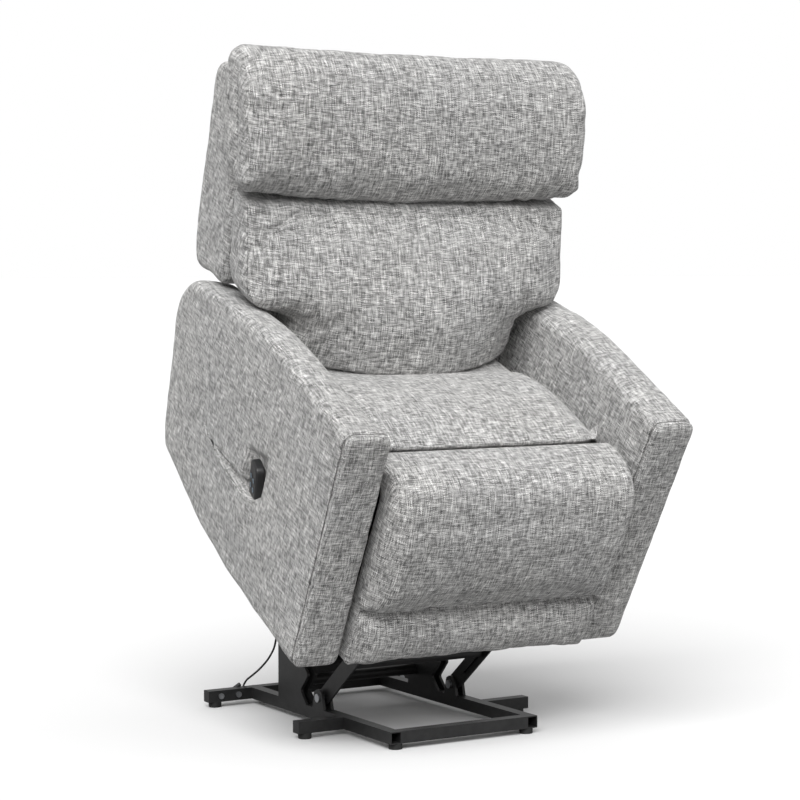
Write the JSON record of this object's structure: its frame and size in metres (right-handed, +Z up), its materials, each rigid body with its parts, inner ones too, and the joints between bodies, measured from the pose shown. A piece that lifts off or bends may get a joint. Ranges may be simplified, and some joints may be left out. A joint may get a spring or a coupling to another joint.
{
  "type": "lift recliner chair",
  "caption": "Powered lift recliner armchair in grey tweed on a black steel lift base, shown raised and tipped forward, with reclining back, footrest and pocket handset.",
  "frame": {"origin": "on the floor, at the middle of the raised chair's width and depth", "axes": "+Z up, +Y to the rear of the chair, +X to the right in a front view (the sitter's left); the chair faces -Y"},
  "size_m": [0.8142, 0.9455, 1.4266],
  "materials": {
    "powder_coat": "satin black powder coat",
    "zinc": "zinc plated",
    "rod_steel": "polished rod",
    "black_plastic": "fine texture",
    "motor_can": "semi-gloss",
    "foot_rubber": "matte",
    "cable_jacket": "matte jacket",
    "key_plastic": "satin",
    "wood": "raw plywood",
    "webbing": "woven strap",
    "tweed": "grey melange woven upholstery",
    "lining": "black lining over board"
  },
  "bodies": {
    "base": {"base_front_bar": "powder_coat", "base_rear_bar": "powder_coat", "base_side_rails": "powder_coat", "base_outriggers": "powder_coat", "outrigger_end_caps": "black_plastic", "base_feet": "foot_rubber", "outrigger_bolts": "zinc", "base_post_plates": "powder_coat", "base_cross_tube": "powder_coat", "base_brackets": "powder_coat", "base_pivot_bolts": "zinc", "cable_clip": "black_plastic", "power_cable": "cable_jacket", "cable_connector": "black_plastic"},
    "lift_arm": {"lift_arm_left": "powder_coat", "lift_arm_right": "powder_coat", "lift_arm_tube": "powder_coat"},
    "rear_links": {"rear_links": "powder_coat"},
    "chassis": {"chassis_plate_left": "powder_coat", "chassis_plate_right": "powder_coat", "chassis_cross_tubes": "powder_coat", "chassis_pivot_bolts": "zinc", "chassis_brackets": "powder_coat", "control_box": "black_plastic", "seat_frame": "wood", "seat_webbing": "webbing", "seat_cushion": "tweed", "footrest_hinge_plates": "powder_coat", "back_hinge_plates": "powder_coat", "rear_panel": "lining", "arm_cover_left": "tweed", "arm_cover_right": "tweed", "arm_frame_left": "wood", "arm_frame_right": "wood", "arm_front_panel_left": "tweed", "arm_front_panel_right": "tweed"},
    "lift_motor": {"lift_actuator_body": "black_plastic", "lift_actuator_motor": "motor_can"},
    "lift_rod": {"lift_actuator_rod": "rod_steel"},
    "back_motor": {"back_actuator_body": "black_plastic", "back_actuator_motor": "motor_can"},
    "back_rod": {"back_actuator_rod": "rod_steel"},
    "footrest_motor": {"footrest_actuator_body": "black_plastic", "footrest_actuator_motor": "motor_can"},
    "footrest_rod": {"footrest_actuator_rod": "rod_steel"},
    "back": {"back_frame": "powder_coat", "back_crank": "powder_coat", "lumbar_cushion": "tweed", "headrest_cushion": "tweed", "back_shell": "tweed"},
    "footrest": {"footrest_pad": "tweed", "footrest_board": "wood", "footrest_tube": "powder_coat", "footrest_brackets": "powder_coat"},
    "handset": {"handset_shell": "black_plastic"},
    "key_1": {"handset_key_1": "key_plastic"},
    "key_2": {"handset_key_2": "key_plastic"},
    "key_3": {"handset_key_3": "key_plastic"},
    "key_4": {"handset_key_4": "key_plastic"}
  },
  "joints": [
    {"name": "lift", "type": "hinge", "parent": "base", "child": "lift_arm", "pos_m": [0, 0.103, 0.06], "axis": [1, 0, 0], "range_deg": [0, 38.3]},
    {"name": "rear_link_turn", "type": "hinge", "parent": "base", "child": "rear_links", "pos_m": [0, 0.258, 0.18], "axis": [1, 0, 0], "range_deg": [0, 64.81]},
    {"name": "chassis_tilt", "type": "hinge", "parent": "lift_arm", "child": "chassis", "pos_m": [0, -0.11649, 0.23336], "axis": [1, 0, 0], "range_deg": [-66.3, 0]},
    {"name": "lift_actuator_swing", "type": "hinge", "parent": "base", "child": "lift_motor", "pos_m": [0, 0.378, 0.07], "axis": [1, 0, 0], "range_deg": [0, 12.23]},
    {"name": "lift_actuator_stroke", "type": "slide", "parent": "lift_motor", "child": "lift_rod", "axis": [0, -0.8259, 0.5638], "range_m": [-0.1228, 0]},
    {"name": "recline", "type": "hinge", "parent": "chassis", "child": "back", "pos_m": [0, 0.15795, 0.6964], "axis": [-1, 0, 0], "range_deg": [0, 38]},
    {"name": "back_actuator_swing", "type": "hinge", "parent": "chassis", "child": "back_motor", "pos_m": [0, -0.19506, 0.41243], "axis": [1, 0, 0], "range_deg": [0, 3.98]},
    {"name": "back_actuator_stroke", "type": "slide", "parent": "back_motor", "child": "back_rod", "axis": [0, 0.9084, 0.418], "range_m": [-0.0663, 0]},
    {"name": "footrest_raise", "type": "hinge", "parent": "chassis", "child": "footrest", "pos_m": [0, -0.30861, 0.5344], "axis": [-1, 0, 0], "range_deg": [0, 84]},
    {"name": "footrest_actuator_swing", "type": "hinge", "parent": "chassis", "child": "footrest_motor", "pos_m": [0, 0.25927, 0.58039], "axis": [1, 0, 0], "range_deg": [-1.13, 0]},
    {"name": "footrest_actuator_stroke", "type": "slide", "parent": "footrest_motor", "child": "footrest_rod", "axis": [0, -0.9812, -0.1931], "range_m": [0, 0.10521]},
    {"name": "handset_pull", "type": "slide", "parent": "chassis", "child": "handset", "axis": [-0.1736, -0.4623, 0.8695], "range_m": [0, 0.12]},
    {"name": "key_1_press", "type": "slide", "parent": "handset", "child": "key_1", "axis": [0.9633, -0.2633, 0.0524], "range_m": [0, 0.001], "stiffness_N_per_m": 600},
    {"name": "key_2_press", "type": "slide", "parent": "handset", "child": "key_2", "axis": [0.9633, -0.2633, 0.0524], "range_m": [0, 0.001], "stiffness_N_per_m": 600},
    {"name": "key_3_press", "type": "slide", "parent": "handset", "child": "key_3", "axis": [0.9633, -0.2633, 0.0524], "range_m": [0, 0.001], "stiffness_N_per_m": 600},
    {"name": "key_4_press", "type": "slide", "parent": "handset", "child": "key_4", "axis": [0.9633, -0.2633, 0.0524], "range_m": [0, 0.001], "stiffness_N_per_m": 600}
  ],
  "couplings": [
    {"joint": "rear_link_turn", "follows": "lift", "ratio": 1.692},
    {"joint": "chassis_tilt", "follows": "lift", "ratio": -1.731},
    {"joint": "lift_actuator_swing", "follows": "lift", "ratio": 0.3192},
    {"joint": "lift_actuator_stroke", "follows": "lift", "m_per_rad": -0.18367},
    {"joint": "back_actuator_swing", "follows": "recline", "ratio": 0.10483},
    {"joint": "back_actuator_stroke", "follows": "recline", "m_per_rad": -0.099956},
    {"joint": "footrest_actuator_swing", "follows": "footrest_raise", "ratio": -0.013454},
    {"joint": "footrest_actuator_stroke", "follows": "footrest_raise", "m_per_rad": 0.071755}
  ]
}
